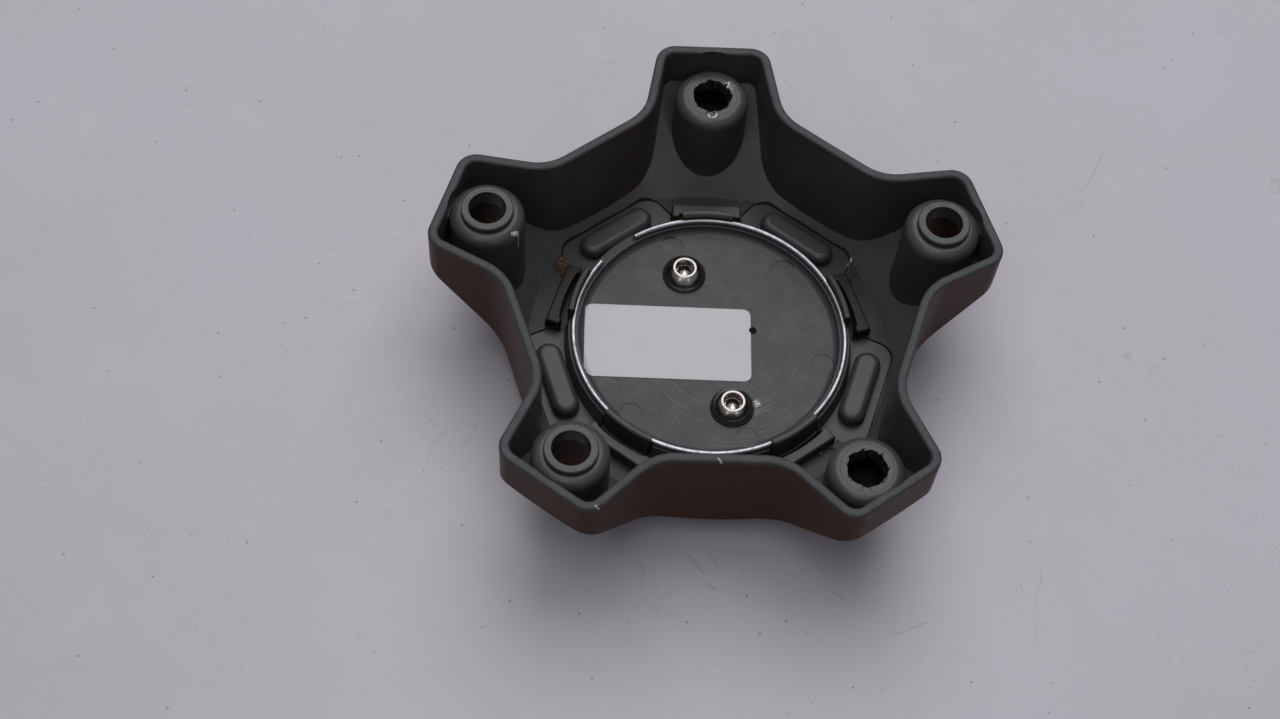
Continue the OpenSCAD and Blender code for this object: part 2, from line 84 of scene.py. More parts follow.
# Nodes of the frame, and the names of their finished pieces
SCREWS = {"screw_upper": "upper_screw", "screw_lower": "lower_screw"}
LININGS = {"broken_lining_top": "torn_lining_top", "broken_lining_right": "torn_lining_right"}

# Heights in millimetres, read from the frame
RIM_Z = CAD_BOX[1][2] / MM
SHORT_TOP_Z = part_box("broken_lining_top")[1].z / MM + LINING_DEPTH
DISC_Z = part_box("label")[0].z / MM
WIRE_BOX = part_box("retaining_ring")

# What lies about, in metres
FIBRE_PLACES = [(-0.0462, 0.0280, 0.0122), (-0.0447, 0.0259, 0.0118)]
CRUMB_PLACES = [
    (0.0393, -0.0332, 0.0124), (0.0413, -0.0349, 0.0122), (0.0339, -0.0379, 0.0122),
    (-0.0360, -0.0420, 0.0122),
]
DOT_PLACE, DOT_RADIUS, DOT_FLATNESS = (0.0138, 0.0038), 0.0013, 0.3


def tone(red, green, blue):
    """A display colour from 0 to 255, as the linear colour that shaders take."""
    def linear(c):
        c = c / 255
        return c / 12.92 if c <= 0.04045 else ((c + 0.055) / 1.055) ** 2.4
    return (linear(red), linear(green), linear(blue), 1.0)


# The stage, in metres and watts: a broad lamp above and beyond the cap, a weaker one high on the
# near side, and two small ones beside the camera that show in the metal and on rounded ends
LAMPS = (
    ("far_window", (0.06, 0.62, 1.35), 1.3, 19.0),
    ("high_fill", (-0.2, -0.45, 1.5), 0.9, 6.2),
    ("left_glint", (-0.42, -0.62, 0.75), 0.14, 0.3),
    ("right_glint", (0.36, -0.62, 0.75), 0.14, 0.3),
)
LAMP_TARGET = (0, 0, 0.02)
ROOM_LIGHT, ROOM_STRENGTH = tone(226, 226, 232), 0.17
ROOM_SEEN, ROOM_MIRRORED = tone(214, 213, 219), 0.5
TABLE_HALF = 4.0
CAMERA_PLACE = (-0.056863, -0.386283, 0.647747)
CAMERA_TURNS = ((-5.369, "Z"), (30.970, "X"), (6.275, "Z"))


def boss_centre(lobe):
    """Plan position of a boss, in millimetres."""
    angle = TOP_LOBE + PITCH * lobe
    return (BOSS_CIRCLE * math.cos(angle), BOSS_CIRCLE * math.sin(angle))


def screw_tops():
    """Plan position and top of each screw, in millimetres."""
    tops = []
    for node in SCREWS:
        low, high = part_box(node)
        tops.append(((low.x + high.x) / 2 / MM, (low.y + high.y) / 2 / MM, high.z / MM))
    return tops


# ---- Node trees as expressions ----


class Term:
    """One output socket, so that node maths reads as an expression."""

    def __init__(self, tree, socket):
        self.tree = tree
        self.socket = socket

    def math(self, operation, *others):
        inputs = {0: self}
        for slot, other in enumerate(others, 1):
            inputs[slot] = other
        return self.tree.node(self.tree.math_kind, {"operation": operation}, inputs)

    def __add__(self, other):
        return self.math("ADD", other)

    def __radd__(self, other):
        return self.math("ADD", other)

    def __sub__(self, other):
        return self.math("SUBTRACT", other)

    def __rsub__(self, other):
        return self.tree.number(other).math("SUBTRACT", self)

    def __mul__(self, other):
        return self.math("MULTIPLY", other)

    def __rmul__(self, other):
        return self.math("MULTIPLY", other)

    def __truediv__(self, other):
        return self.math("DIVIDE", other)

    def __mod__(self, other):
        return self.math("FLOORED_MODULO", other)

    def __abs__(self):
        return self.math("ABSOLUTE")

    def sin(self):
        return self.math("SINE")

    def cos(self):
        return self.math("COSINE")

    def smallest(self, other):
        return self.math("MINIMUM", other)

    def largest(self, other):
        return self.math("MAXIMUM", other)

    def rise(self, low, high):
        """0 below low and 1 above high, smooth between; falls instead where low is the higher."""
        inputs = {0: self, 1: low, 2: high}
        if low > high:
            inputs = {0: self, 1: high, 2: low, 3: 1.0, 4: 0.0}
        return self.tree.node("ShaderNodeMapRange", {"interpolation_type": "SMOOTHSTEP"}, inputs)

    def above(self, edge, soft):
        """0 below the edge and 1 above it, over a band of that half width."""
        return self.rise(edge - soft, edge + soft)

    def below(self, edge, soft):
        """1 below the edge and 0 above it, over a band of that half width."""
        return self.rise(edge + soft, edge - soft)


def length(x, y):
    """Distance in the plane of two terms."""
    return (x * x + y * y).math("SQRT")


class Tree:
    """Adds nodes to a tree: a type, its settings, then the values or links of its inputs."""

    math_kind = "ShaderNodeMath"

    def __init__(self, nodes_of):
        self.tree = nodes_of

    def node(self, kind, settings=None, inputs=None, out=0):
        made = self.tree.nodes.new(kind)
        for name, value in (settings or {}).items():
            setattr(made, name, value)
        for slot, value in (inputs or {}).items():
            if isinstance(value, Term):
                self.tree.links.new(value.socket, made.inputs[slot])
            else:
                made.inputs[slot].default_value = value
        return Term(self, made.outputs[out])

    def number(self, value):
        made = self.node("ShaderNodeValue")
        made.socket.default_value = value
        return made

    def vector(self, operation, first, second):
        """Vector maths on two values; to scale, the second is a number."""
        slot = "Scale" if operation == "SCALE" else 1
        return self.node("ShaderNodeVectorMath", {"operation": operation}, {0: first, slot: second})


class Finish(Tree):
    """A material's nodes, with object coordinates in millimetres at hand."""

    def __init__(self, name):
        self.material = bpy.data.materials.new(name)
        self.material.use_nodes = True
        super().__init__(self.material.node_tree)
        self.tree.nodes.clear()
        place = self.node("ShaderNodeTexCoord", out="Object")
        self.point = self.vector("SCALE", place, 1 / MM)
        self.x, self.y, self.z = self.split(self.point)
        self.nx, self.ny, self.nz = self.split(self.node("ShaderNodeNewGeometry", out="Normal"))

    def split(self, vector):
        """The three parts of a vector."""
        parts = self.node("ShaderNodeSeparateXYZ", {}, {0: vector}).socket.node.outputs
        return [Term(self, parts[i]) for i in range(3)]

    def noise(self, size, detail=3.0, rough=0.55, stretch=None, seed=0.0):
        """Noise from 0 to 1 with features of about that size in millimetres."""
        where = self.point
        if stretch:
            where = self.vector("MULTIPLY", where, stretch)
        return self.node(
            "ShaderNodeTexNoise",
            {"noise_dimensions": "4D"},
            {"Vector": where, "W": seed, "Scale": 1 / size, "Detail": detail, "Roughness": rough},
        )

    def cells(self, size, dimensions="3D"):
        """Distance to scattered points about that many millimetres apart, over the spacing."""
        return self.node(
            "ShaderNodeTexVoronoi",
            {"voronoi_dimensions": dimensions},
            {"Vector": self.point, "Scale": 1 / size},
            "Distance",
        )

    def spot(self, x, y, radius, soft=0.3):
        """1 inside a round spot in plan, 0 outside."""
        return length(self.x - x, self.y - y).below(radius, soft)

    def dash(self, x, y, degrees, reach, width):
        """1 inside a short straight stroke in plan, 0 outside; reach and width are half sizes."""
        turn = math.radians(degrees)
        along = (self.x - x) * math.cos(turn) + (self.y - y) * math.sin(turn)
        across = (self.y - y) * math.cos(turn) - (self.x - x) * math.sin(turn)
        return abs(along).rise(reach, reach * 0.6) * abs(across).rise(width, width * 0.4)

    def blend(self, under, over, amount):
        """Colour under, covered by colour over where the amount is 1."""
        return self.node(
            "ShaderNodeMix",
            {"data_type": "RGBA"},
            {0: amount, 6: under, 7: over},
            2,
        )

    def bump(self, height, depth, rounding=0.0):
        """A normal from a height field; depth in millimetres, and edges rounded to a radius."""
        inputs = {"Height": height, "Strength": 1.0, "Distance": depth * MM}
        if rounding:
            inputs["Normal"] = self.node("ShaderNodeBevel", {"samples": 6}, {0: rounding * MM})
        return self.node("ShaderNodeBump", {}, inputs)

    def surface(self, inputs):
        shader = self.node("ShaderNodeBsdfPrincipled", {}, inputs)
        output = self.tree.nodes.new("ShaderNodeOutputMaterial")
        self.tree.links.new(shader.socket, output.inputs[0])
        return self.material


class Growth(Tree):
    """A geometry node group with named inputs."""

    def __init__(self, name, inputs):
        group = bpy.data.node_groups.new(name, "GeometryNodeTree")
        super().__init__(group)
        face = group.interface
        face.new_socket("Geometry", in_out="INPUT", socket_type="NodeSocketGeometry")
        for label, (kind, value) in inputs.items():
            socket = face.new_socket(label, in_out="INPUT", socket_type="NodeSocket" + kind)
            if value is not None:
                socket.default_value = value
        face.new_socket("Geometry", in_out="OUTPUT", socket_type="NodeSocketGeometry")
        self.entry = self.tree.nodes.new("NodeGroupInput")

    def given(self, label):
        return Term(self, self.entry.outputs[label])

    def random_vector(self, low, high, seed):
        """A random vector between two, at each point."""
        return self.node("FunctionNodeRandomValue", {"data_type": "FLOAT_VECTOR"}, {
            0: low, 1: high, "Seed": seed,
        })

    def wobble(self, scale, reach):
        """Smooth noise about zero, as a vector."""
        noise = self.node(
            "ShaderNodeTexNoise", {"noise_dimensions": "3D"}, {"Scale": scale, "Detail": 1.0}, 1
        )
        return self.vector("SCALE", self.vector("SUBTRACT", noise, (0.5, 0.5, 0.5)), reach)

    def tube(self, path, sides, thickness):
        """A capped round tube along a path."""
        profile = self.node("GeometryNodeCurvePrimitiveCircle", {"mode": "RADIUS"}, {
            "Resolution": sides, "Radius": thickness / 2,
        })
        return self.node("GeometryNodeCurveToMesh", {}, {0: path, 1: profile, "Fill Caps": True})

    def at_points(self, points, instance, **placing):
        """The instance at each point."""
        return self.node("GeometryNodeInstanceOnPoints", {}, {
            "Points": points, "Instance": instance, **placing,
        })

    def finish(self, geometry):
        """Realizes instances, sets the material and closes the group."""
        real = self.node("GeometryNodeRealizeInstances", {}, {0: geometry})
        painted = self.node(
            "GeometryNodeSetMaterial", {}, {"Geometry": real, "Material": self.given("Material")}
        )
        output = self.tree.nodes.new("NodeGroupOutput")
        self.tree.links.new(painted.socket, output.inputs[0])
        return self.tree


def grow(name, group, values, vertices=((0, 0, 0),)):
    """Runs a geometry node group on a few points and returns the result as a plain mesh object."""
    seed = bpy.data.meshes.new(name + "_points")
    seed.from_pydata(vertices, [], [])
    host = bpy.data.objects.new(name + "_points", seed)
    bpy.context.scene.collection.objects.link(host)
    modifier = host.modifiers.new("grow", "NODES")
    modifier.node_group = group
    for item in group.interface.items_tree:
        if item.in_out == "INPUT" and item.name in values:
            modifier[item.identifier] = values[item.name]
    bpy.context.view_layer.update()
    evaluated = host.evaluated_get(bpy.context.evaluated_depsgraph_get())
    mesh = bpy.data.meshes.new_from_object(evaluated)
    bpy.data.objects.remove(host)
    return piece(name, mesh)


# ---- Pieces ----


def piece(name, mesh):
    mesh.name = name
    made = bpy.data.objects.new(name, mesh)
    bpy.context.scene.collection.objects.link(made)
    return made


def smooth(mesh, angle):
    """Smooth shading, with edges sharper than the angle in degrees kept."""
    form = bmesh.new()
    form.from_mesh(mesh)
    for face in form.faces:
        face.smooth = True
    for edge in form.edges:
        edge.smooth = len(edge.link_faces) == 2 and edge.calc_face_angle(0) < math.radians(angle)
    form.to_mesh(mesh)
    form.free()


def finished_copy(node, name, angle=EDGE_ANGLE):
    """The node's own shape with its corners shared, so that its curves shade smoothly."""
    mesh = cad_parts[node].data.copy()
    mesh.materials.clear()
    form = bmesh.new()
    form.from_mesh(mesh)
    bmesh.ops.remove_doubles(form, verts=form.verts, dist=MERGE_DISTANCE)
    form.to_mesh(mesh)
    form.free()
    smooth(mesh, angle)
    made = piece(name, mesh)
    weigh = made.modifiers.new("even shading", "WEIGHTED_NORMAL")
    weigh.keep_sharp = True
    weigh.weight = 60
    bpy.context.view_layer.update()
    evaluated = made.evaluated_get(bpy.context.evaluated_depsgraph_get())
    shaded = bpy.data.meshes.new_from_object(evaluated)
    made.modifiers.clear()
    made.data = shaded
    shaded.name = name
    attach(made, "root")
    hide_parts(node)
    return made


def dress(made, material):
    made.data.materials.clear()
    made.data.materials.append(material)


# ---- Settings ----


class CapPlasticSettings(bpy.types.PropertyGroup):
    shell_grey: bpy.props.FloatVectorProperty(
        name="Shell grey", description="Colour of the star-shaped shell's plastic",
        subtype="COLOR", size=4, default=tone(53, 54, 55), min=0, max=1,
    )
    insert_grey: bpy.props.FloatVectorProperty(
        name="Insert grey", description="Colour of the centre insert's plastic",
        subtype="COLOR", size=4, default=tone(51, 51, 53), min=0, max=1,
    )
    paint: bpy.props.FloatVectorProperty(
        name="Paint", description="Brown paint on the outer faces",
        subtype="COLOR", size=4, default=tone(53, 28, 15), min=0, max=1,
    )
    paint_line: bpy.props.FloatProperty(
        name="Paint line", description="Distance from the rim down to the edge of the paint",
        unit="LENGTH", default=1.3 * MM, min=0, max=5 * MM,
    )
    overspray: bpy.props.FloatProperty(
        name="Overspray", description="How much paint dust lies inside",
        default=0.55, min=0, max=1,
    )
    edge_rounding: bpy.props.FloatProperty(
        name="Edge rounding", description="Radius that softens each moulded edge",
        unit="LENGTH", default=0.35 * MM, min=0, max=1 * MM,
    )


class CapMetalSettings(bpy.types.PropertyGroup):
    wire_colour: bpy.props.FloatVectorProperty(
        name="Wire", description="Colour of the plated spring wire",
        subtype="COLOR", size=4, default=tone(152, 152, 157), min=0, max=1,
    )
    screw_colour: bpy.props.FloatVectorProperty(
        name="Screws", description="Colour of the screws' plating",
        subtype="COLOR", size=4, default=tone(130, 126, 123), min=0, max=1,
    )
    wire_thickness: bpy.props.FloatProperty(
        name="Wire thickness", description="Diameter of the wire",
        unit="LENGTH", default=WIRE_BOX[1].z - WIRE_BOX[0].z, min=0.5 * MM, max=3 * MM,
    )


class CapDetailSettings(bpy.types.PropertyGroup):
    label_white: bpy.props.FloatVectorProperty(
        name="Label", description="Colour of the blank paper label",
        subtype="COLOR", size=4, default=tone(163, 163, 168), min=0, max=1,
    )
    fuzz_count: bpy.props.IntProperty(
        name="Fibres", description="Brown fibres caught at the insert's edge",
        default=70, min=0, max=400,
    )
    shard_count: bpy.props.IntProperty(
        name="Shards", description="Torn black slivers round each broken hole",
        default=46, min=0, max=200,
    )


class CapStageSettings(bpy.types.PropertyGroup):
    table: bpy.props.FloatVectorProperty(
        name="Table", description="Colour of the table",
        subtype="COLOR", size=4, default=tone(168, 164, 173), min=0, max=1,
    )
    lens: bpy.props.FloatProperty(
        name="Lens", description="Focal length on a 36 mm wide sensor, in millimetres",
        default=67.34, min=10, max=200,
    )


# ---- Finishes ----

# Tones that are laid over the base colours
SHADED_PLASTIC = tone(50, 49, 52)
PALE_FLECK = tone(120, 118, 122)
SHELL_DUST = tone(58, 47, 40)
SHELTERED = tone(52, 54, 55)
BRACKET_DUST_AND_SHADE = tone(42, 38, 29)
LEVEL_FLOOR = tone(28, 28, 29)
SIDE_BRACKET_SHADE = tone(20, 16, 12)
RUST_SMEAR = tone(74, 46, 34)
FINE_LINE = tone(22, 22, 23)
PALE_MARK_AND_HIGHLIGHT = tone(205, 203, 205)
RUBBED_LIP = tone(104, 103, 108)
PAINT_VARIANT = tone(59, 35, 21)
WIPED = tone(112, 111, 115)
CLOUDED = tone(92, 91, 95)
DULL_SKIRT = tone(36, 36, 38)
BRIGHT_CRUMB_AND_HIGHLIGHT = tone(205, 204, 208)
INSERT_DUST = tone(60, 54, 43)
SIDE_CLIP_SHADE = tone(26, 20, 15)
COVER_SCUFF = tone(96, 84, 78)
WIRE_DRAWN, WIRE_WORN = tone(114, 114, 119), tone(84, 82, 84)
SCREW_STAIN, SOCKET_WALL_SHADE, SOCKET_FLOOR_HIGHLIGHT = tone(120, 112, 106), tone(40, 35, 30), tone(196, 188, 180)
PAPER_CLOUD, PAPER_EDGE_AND_CREASE_SHADE = tone(156, 155, 161), tone(150, 149, 156)
TORN_BLACK, TORN_GREY = tone(4, 4, 5), tone(30, 29, 32)
FIBRE_DARK, FIBRE_PALE = tone(66, 38, 23), tone(136, 100, 72)
TABLE_CLOUD, TABLE_SMUDGE = tone(160, 155, 162), tone(178, 175, 182)
TABLE_GRIME, TABLE_SPECK, TABLE_DIRT = tone(150, 145, 148), tone(88, 84, 88), tone(84, 78, 80)

# Where the finishes change: millimetres from the axis, from a boss's axis or above the table
PAINT_FROM_R = 57.3
BOSS_FOOT_R = 12.6
WELL_IN_R, WELL_OUT_R = 8.1, 9.3
BOSS_RING_R = 7.9
GATE_OFFSET, GATE_R = 7.0, 1.25
BRACKET_REACH, BRACKET_HALF, BRACKET_FOOT_Z = 50.05, 11.45, 12.2
CLIP_FOOT_Z, CLIP_IN_R = 17.5, 41.3
RING_IN_R, RING_OUT_R = 43.55, 45.1
SKIRT_FROM_R = 46.0
DISC_R = 40.6
SOCKET_R = 2.95

# Strokes in plan: x, y, direction in degrees, half length, half width
# A painted highlight at a pad's edge
PAD_GLINT = (45.9, 32.3, 62, 1.5, 0.4)
FLOOR_SMEAR = (-22.8, 55.8, 26, 6.5, 1.5)
RIM_NICK_FRONT = (-0.5, -61.7, -52, 1.2, 0.34)
# The next three strokes are painted highlights on the rim; the one above is a real nick
RIM_HIGHLIGHT_CORNER = (-34.6, -78.2, -38, 2.0, 0.4)
RIM_HIGHLIGHT_SMALL = (-32.4, -80.4, 10, 0.8, 0.3)
RIM_HIGHLIGHT_LEFT = (-81.8, 32.8, 72, 1.8, 0.35)
STROKE_WIDTH = 0.16
TABLE_STROKES = (
    (-3.6, -70.3, -52.4, 5.4, STROKE_WIDTH),
    (0.2, -77.3, -32, 3.0, STROKE_WIDTH),
    (2.5, -70.0, -60, 4.5, STROKE_WIDTH),
    (38.5, -79.2, -38, 5.4, STROKE_WIDTH),
    (132.4, 80.0, 63, 9.4, STROKE_WIDTH),
    (-20.0, -72.0, -66, 2.6, STROKE_WIDTH),
    (60.0, -90.0, 24, 7.0, STROKE_WIDTH),
)

# The wiping marks on the disc turn about a point beside its centre
WIPE_X, WIPE_Y = 6.0, -2.0
LABEL_X, LABEL_Y = -12.7, -1.45
LABEL_HALF_LENGTH, LABEL_HALF_WIDTH = 25.3, 12.5


def folded(finish, offset=0.0):
    """Plan coordinates in the frame of the nearest lobe: along its axis, across it, and the radius.

    An offset of half a pitch takes the nearest valley instead.
    """
    angle = finish.y.math("ARCTAN2", finish.x)
    local = (angle - (TOP_LOBE - PITCH / 2 + offset)) % PITCH - PITCH / 2
    radius = length(finish.x, finish.y)
    return radius * local.cos(), radius * local.sin(), radius


def either(masks):
    """The largest of several masks."""
    joined = masks[0]
    for mask in masks[1:]:
        joined = joined.largest(mask)
    return joined


def moulded(finish, colour):
    """Fine moulded grain: a slightly mottled colour, a varying gloss and a height field."""
    cloud = finish.noise(16, 4)
    grain = finish.noise(0.35, 2)
    fleck = finish.cells(2.6).below(0.12, 0.04)
    darker = finish.blend(colour, SHADED_PLASTIC, cloud.rise(0.45, 0.8) * 0.35)
    dusty = finish.blend(darker, PALE_FLECK, fleck * 0.16 + cloud.rise(0.5, 0.2) * 0.10)
    gloss = 0.40 + cloud * 0.14 + grain * 0.06
    return dusty, gloss, grain * 0.6 + cloud * 0.4


def painted(finish, plastic, from_boss, radius):
    """1 on the outer faces below the lip, on what faces the front, and in the wells."""
    wander = finish.noise(3.0, 3, seed=2.0)
    outward = (finish.nx * finish.x + finish.ny * finish.y).rise(0.0, 6.0)
    outer = outward * from_boss.above(BOSS_FOOT_R, 0.2) * radius.above(PAINT_FROM_R, 0.3)
    line = RIM_Z - plastic.paint_line / MM
    below = (finish.z + (wander - 0.5) * 1.1).below(line, 0.25)
    front = finish.nz.below(-0.275, 0.075)
    upright = abs(finish.nz).below(0.25, 0.1)
    well = from_boss.below(WELL_OUT_R, 0.1) * from_boss.above(WELL_IN_R, 0.1) * upright
    return (outer * below).largest(front).largest(well)


def paint_colour(finish, plastic, tint):
    return finish.blend(tuple(plastic.paint), PAINT_VARIANT, tint.rise(0.35, 0.75))


def short_boss_lines(finish):
    """A fine ring on the end of each short boss."""
    rings = []
    for lobe in SHORT_BOSSES:
        x, y = boss_centre(lobe)
        ring = abs(length(finish.x - x, finish.y - y) - BOSS_RING_R).below(0.16, 0.08)
        rings.append(ring * finish.z.above(SHORT_TOP_Z - 3.5, 0.5))
    return either(rings)


def pale_marks_and_highlights(finish):
    """The top boss's half ring and chips, a scratch on the left boss, a nick at the front of the
    rim, and painted highlights on the rim at the lower left and at the left.
    """
    x, y = boss_centre(0)
    gate = abs(length(finish.x - x, finish.y - (y - GATE_OFFSET)) - GATE_R).below(0.22, 0.1)
    gate = gate * finish.y.below(y - GATE_OFFSET + 0.2, 0.2) * finish.z.above(41.5, 0.5)
    chips = finish.spot(x + 5.5, y + 4.4, 1.5, 0.5) * finish.noise(0.5, 2).rise(0.52, 0.6)
    chips = chips * finish.z.above(41.9, 0.4)
    x, y = boss_centre(1)
    scrape = finish.dash(x + 8.6, y - 6.6, 35, 1.6, 0.6)
    scrape = scrape * finish.noise(0.6, 3, seed=9.0).rise(0.38, 0.52) * finish.z.above(38.0, 2.0)
    # A real nick at the front, and painted highlights on the rim
    nicks_and_rim_highlights = either([
        finish.dash(*RIM_NICK_FRONT) * 0.6,
        finish.dash(*RIM_HIGHLIGHT_CORNER) * finish.noise(0.5, 2).rise(0.42, 0.55),
        finish.dash(*RIM_HIGHLIGHT_SMALL),
        finish.dash(*RIM_HIGHLIGHT_LEFT) * finish.noise(0.6, 2).rise(0.4, 0.5),
    ])
    return either([gate, chips, scrape, nicks_and_rim_highlights * finish.z.above(RIM_Z - 1.2, 0.4)])


def shell_finish(plastic):
    finish = Finish("grey shell, painted outside")
    along, across, radius = folded(finish)
    colour, gloss, height = moulded(finish, tuple(plastic.shell_grey))
    from_boss = length(along - BOSS_CIRCLE, across)
    paint = painted(finish, plastic, from_boss, radius)
    # Paint dust that drifted inside: low on the walls by the valleys and round the brackets
    out, side, _ = folded(finish, PITCH / 2)
    drift = finish.noise(7.0, 5, 0.65, seed=5.0)
    near_strip = out.above(55.5, 2.0) * abs(side).below(18.0, 6.0) * finish.z.below(16.25, 3.75)
    near_bracket = along.below(51.5, 2.5) * abs(across).below(13.0, 3.0)
    bracket = along.below(BRACKET_REACH, 0.25) * abs(across).below(BRACKET_HALF, 0.35)
    bracket = bracket * finish.z.above(BRACKET_FOOT_Z, 0.6)
    dust = (near_strip * 0.9 + near_bracket * 0.75).smallest(1.0) * drift.rise(0.36, 0.62)
    sheltered = finish.z.below(30.0, 10.0) * (1 - finish.nz.above(0.7, 0.2))
    colour = finish.blend(colour, SHELL_DUST, dust * plastic.overspray * (1 - paint))
    colour = finish.blend(colour, SHELTERED, sheltered * 0.25)
    # Paint dust on the brackets, in a tone darkened as painted shade
    caught_dust_and_shade = bracket * (0.5 + drift * 0.4)
    colour = finish.blend(colour, BRACKET_DUST_AND_SHADE, caught_dust_and_shade * plastic.overspray)
    # The floor by the seat is duller, and the brackets at the left and right are painted darker as
    # shade
    low_floor = finish.z.below(17.0, 3.0) * radius.below(60.0, 4.0)
    level_floor = finish.nz.rise(0.97, 0.995) * finish.z.below(14.5, 1.5)
    side_bracket_shade = bracket * abs(finish.x).above(38.0, 4.0)
    colour = finish.blend(colour, LEVEL_FLOOR, level_floor * 0.65)
    colour = finish.blend(colour, SIDE_BRACKET_SHADE, side_bracket_shade * 0.85)
    smear = finish.dash(*FLOOR_SMEAR) * drift.rise(0.3, 0.6)
    colour = finish.blend(colour, RUST_SMEAR, smear * 0.35)
    lines = short_boss_lines(finish)
    colour = finish.blend(colour, FINE_LINE, lines * 0.9)
    # A painted highlight at a pad's edge, in the same pale tone as the scratches and chips
    glint = finish.dash(*PAD_GLINT) * finish.z.below(15.25, 0.75)
    colour = finish.blend(colour, PALE_MARK_AND_HIGHLIGHT, pale_marks_and_highlights(finish).largest(glint) * 0.75)
    # The rim is rubbed light here and there, and has little gloss
    lip = finish.z.rise(RIM_Z - 0.5, RIM_Z) * finish.noise(1.4, 3, seed=4.0).rise(0.35, 0.75)
    colour = finish.blend(colour, RUBBED_LIP, lip * 0.12)
    rim = finish.z.above(RIM_Z - 1.65, 0.85) * (0.25 + from_boss.above(11.5, 0.5) * 0.75)
    # Paint has a fine orange peel and its own tone
    tint = finish.noise(22, 3, seed=7.0)
    colour = finish.blend(colour, paint_colour(finish, plastic, tint), paint)
    peel = finish.noise(0.9, 2, seed=8.0)
    level = height * (1 - paint) + peel * paint * 0.8 + lines * -2.0
    dull = low_floor * 0.1 + level_floor * 0.16 + side_bracket_shade * 0.21 + rim * 0.31
    return finish.surface({
        "Base Color": colour,
        "Roughness": gloss * (1 - paint) + paint * (0.36 + tint * 0.12),
        "Specular IOR Level": 0.09,
        "Coat Weight": 0.06 + (1 - paint) * (0.34 - dull),
        "Coat Roughness": 0.3,
        "Normal": finish.bump(level, 0.035, plastic.edge_rounding / MM),
    })


def insert_finish(plastic):
    finish = Finish("grey insert")
    radius = length(finish.x, finish.y)
    colour, gloss, height = moulded(finish, tuple(plastic.insert_grey))
    # Wiping marks: arcs about a point off the centre, stronger toward the near side
    wipe_x, wipe_y = finish.x - WIPE_X, finish.y - WIPE_Y
    swept = finish.node("ShaderNodeCombineXYZ", {}, {
        0: length(wipe_x, wipe_y) * 1.7, 1: wipe_y.math("ARCTAN2", wipe_x) * 1.1,
    })
    streak = finish.node(
        "ShaderNodeTexNoise", {"noise_dimensions": "2D"},
        {"Vector": swept, "Scale": 1.0, "Detail": 5.0, "Roughness": 0.7},
    )
    near = finish.y.rise(6.0, -24.0) * radius.below(39.5, 1.5)
    wiped = streak.rise(0.54, 0.66) * near * finish.noise(9.0, 2, seed=3.0).rise(0.36, 0.6)
    colour = finish.blend(colour, WIPED, wiped * 0.42)
    cloudy = finish.noise(5.0, 5, 0.7, seed=6.0).rise(0.42, 0.75) * radius.rise(DISC_R - 0.1, 36.0)
    colour = finish.blend(colour, CLOUDED, cloudy * 0.22)
    # Bright crumbs of the boss beside the lower screw, and a painted highlight at a pad's edge
    speck = finish.spot(14.3, -22.2, 1.3, 0.6) * finish.noise(0.55, 3, seed=12.0).rise(0.46, 0.56)
    colour = finish.blend(colour, BRIGHT_CRUMB_AND_HIGHLIGHT, speck.largest(finish.dash(*PAD_GLINT)) * 0.85)
    # Paint dust on the clips, on the ring wall and at the pads' outer edges; the pads are duller
    clip = finish.z.above(CLIP_FOOT_Z, 0.3) * radius.above(CLIP_IN_R, 0.3)
    ring_side = radius.above(RING_IN_R, 0.25) * radius.below(RING_OUT_R, 0.3)
    ring_side = ring_side * (1 - finish.nz.above(0.65, 0.15))
    pad_edge = finish.z.below(11.6, 0.6) * radius.above(54.0, 2.0)
    drift = finish.noise(4.0, 4, 0.6, seed=5.0).rise(0.3, 0.65)
    skirt = radius.above(SKIRT_FROM_R, 0.4)
    colour = finish.blend(colour, DULL_SKIRT, skirt * 0.4)
    dust = clip * 0.8 + ring_side * 0.35 + pad_edge * drift * 0.6
    colour = finish.blend(colour, INSERT_DUST, dust.smallest(1.0) * plastic.overspray)
    # Painted shade on the clips at the left and right
    colour = finish.blend(colour, SIDE_CLIP_SHADE, clip * abs(finish.x).above(34.0, 4.0) * 0.6)
    return finish.surface({
        "Base Color": colour,
        "Roughness": gloss - wiped * 0.08,
        "Specular IOR Level": 0.16,
        "Coat Weight": 0.12 + skirt * 0.12,
        "Coat Roughness": 0.28,
        "Normal": finish.bump(height + wiped * 0.5, 0.03, plastic.edge_rounding / MM * 0.8),
    })


def cover_finish(plastic):
    finish = Finish("brown paint")
    tint = finish.noise(22, 3, seed=7.0)
    peel = finish.noise(0.9, 2, seed=8.0)
    scuff = finish.noise(1.6, 5, 0.7, (1.0, 6.0, 1.0)).rise(0.62, 0.74)
    inside = finish.z.above(4.25, 2.25) * (1 - finish.nz.rise(0.0, -0.4))
    colour = paint_colour(finish, plastic, tint)
    colour = finish.blend(colour, tuple(plastic.insert_grey), inside)
    colour = finish.blend(colour, COVER_SCUFF, scuff * 0.18)
    return finish.surface({
        "Base Color": colour,
        "Roughness": 0.34 + tint * 0.12 + scuff * 0.1,
        "Normal": finish.bump(peel, 0.03, plastic.edge_rounding / MM),
    })


def wire_finish(metal):
    finish = Finish("plated spring wire")
    drawn = finish.noise(1.2, 4, 0.6)
    worn = finish.noise(7.0, 4, 0.6, seed=3.0).rise(0.5, 0.72)
    colour = finish.blend(tuple(metal.wire_colour), WIRE_DRAWN, drawn.rise(0.4, 0.8))
    colour = finish.blend(colour, WIRE_WORN, worn * 0.45)
    return finish.surface({
        "Base Color": colour,
        "Metallic": 1.0,
        "Roughness": 0.32 + drawn * 0.16 + worn * 0.12,
        "Normal": finish.bump(drawn, 0.02),
    })


